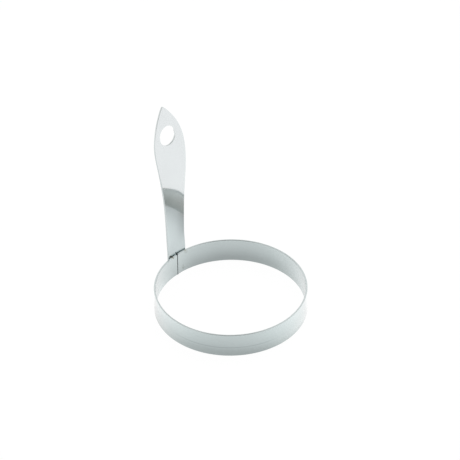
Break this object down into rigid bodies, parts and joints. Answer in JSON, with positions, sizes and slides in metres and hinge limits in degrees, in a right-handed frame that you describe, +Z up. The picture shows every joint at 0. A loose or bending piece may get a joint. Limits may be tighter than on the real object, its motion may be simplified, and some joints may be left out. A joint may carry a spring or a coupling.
{
  "type": "egg ring",
  "caption": "Round egg ring of polished steel strip with an upright leaf-shaped handle plate that has a round hanging hole.",
  "frame": {"origin": "on the ring's axis, in the plane the ring rests on", "axes": "+Z up along the ring's axis, +Y from the ring's centre towards the handle, +X to the right when looking along +Y"},
  "size_m": [0.1024, 0.1135, 0.1333],
  "materials": {
    "band_steel": "polished stainless strip",
    "plate_steel": "polished stainless sheet",
    "weld_steel": "as welded"
  },
  "bodies": {
    "root": {"ring_band": "band_steel", "handle": "plate_steel", "spot_welds": "weld_steel"}
  },
  "joints": []
}
